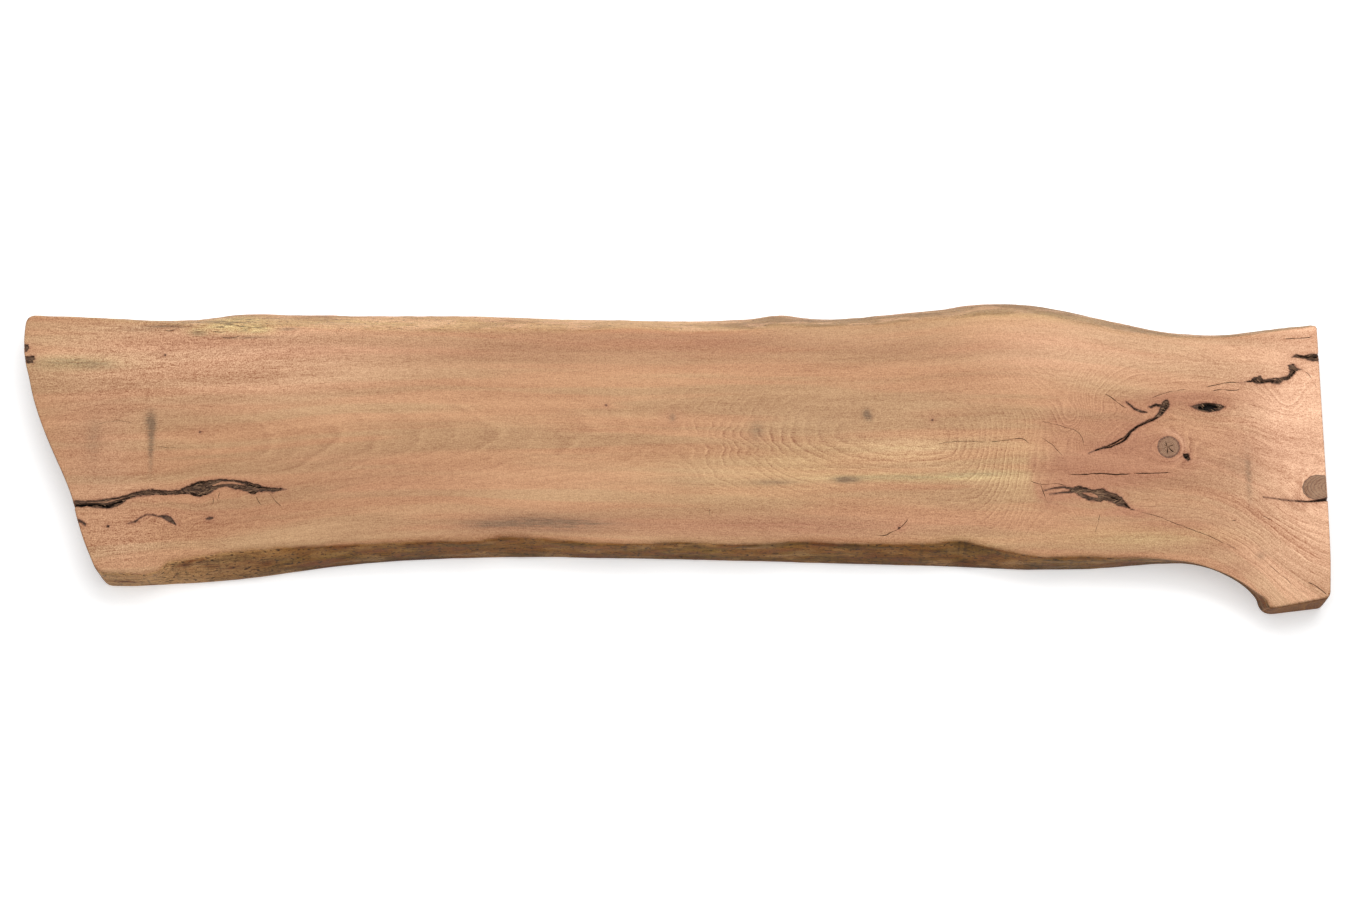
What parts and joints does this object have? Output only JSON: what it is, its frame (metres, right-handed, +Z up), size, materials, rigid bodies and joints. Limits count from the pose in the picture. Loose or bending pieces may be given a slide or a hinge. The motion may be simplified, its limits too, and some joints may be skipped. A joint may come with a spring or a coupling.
{
  "type": "tabletop",
  "caption": "Thick live-edge mango wood slab for a table or counter, with bark pockets, a sawn foot at one front corner and a curved cut at the other end.",
  "frame": {"origin": "middle of the slab's underside, where it rests on a base", "axes": "+X along the slab towards the square sawn end, +Y towards the rear live edge, +Z up out of the top face"},
  "size_m": [2.4354, 0.6054, 0.072],
  "materials": {
    "mango_wood": "sanded, unvarnished"
  },
  "bodies": {
    "root": {"tabletop_slab": "mango_wood"}
  },
  "joints": []
}
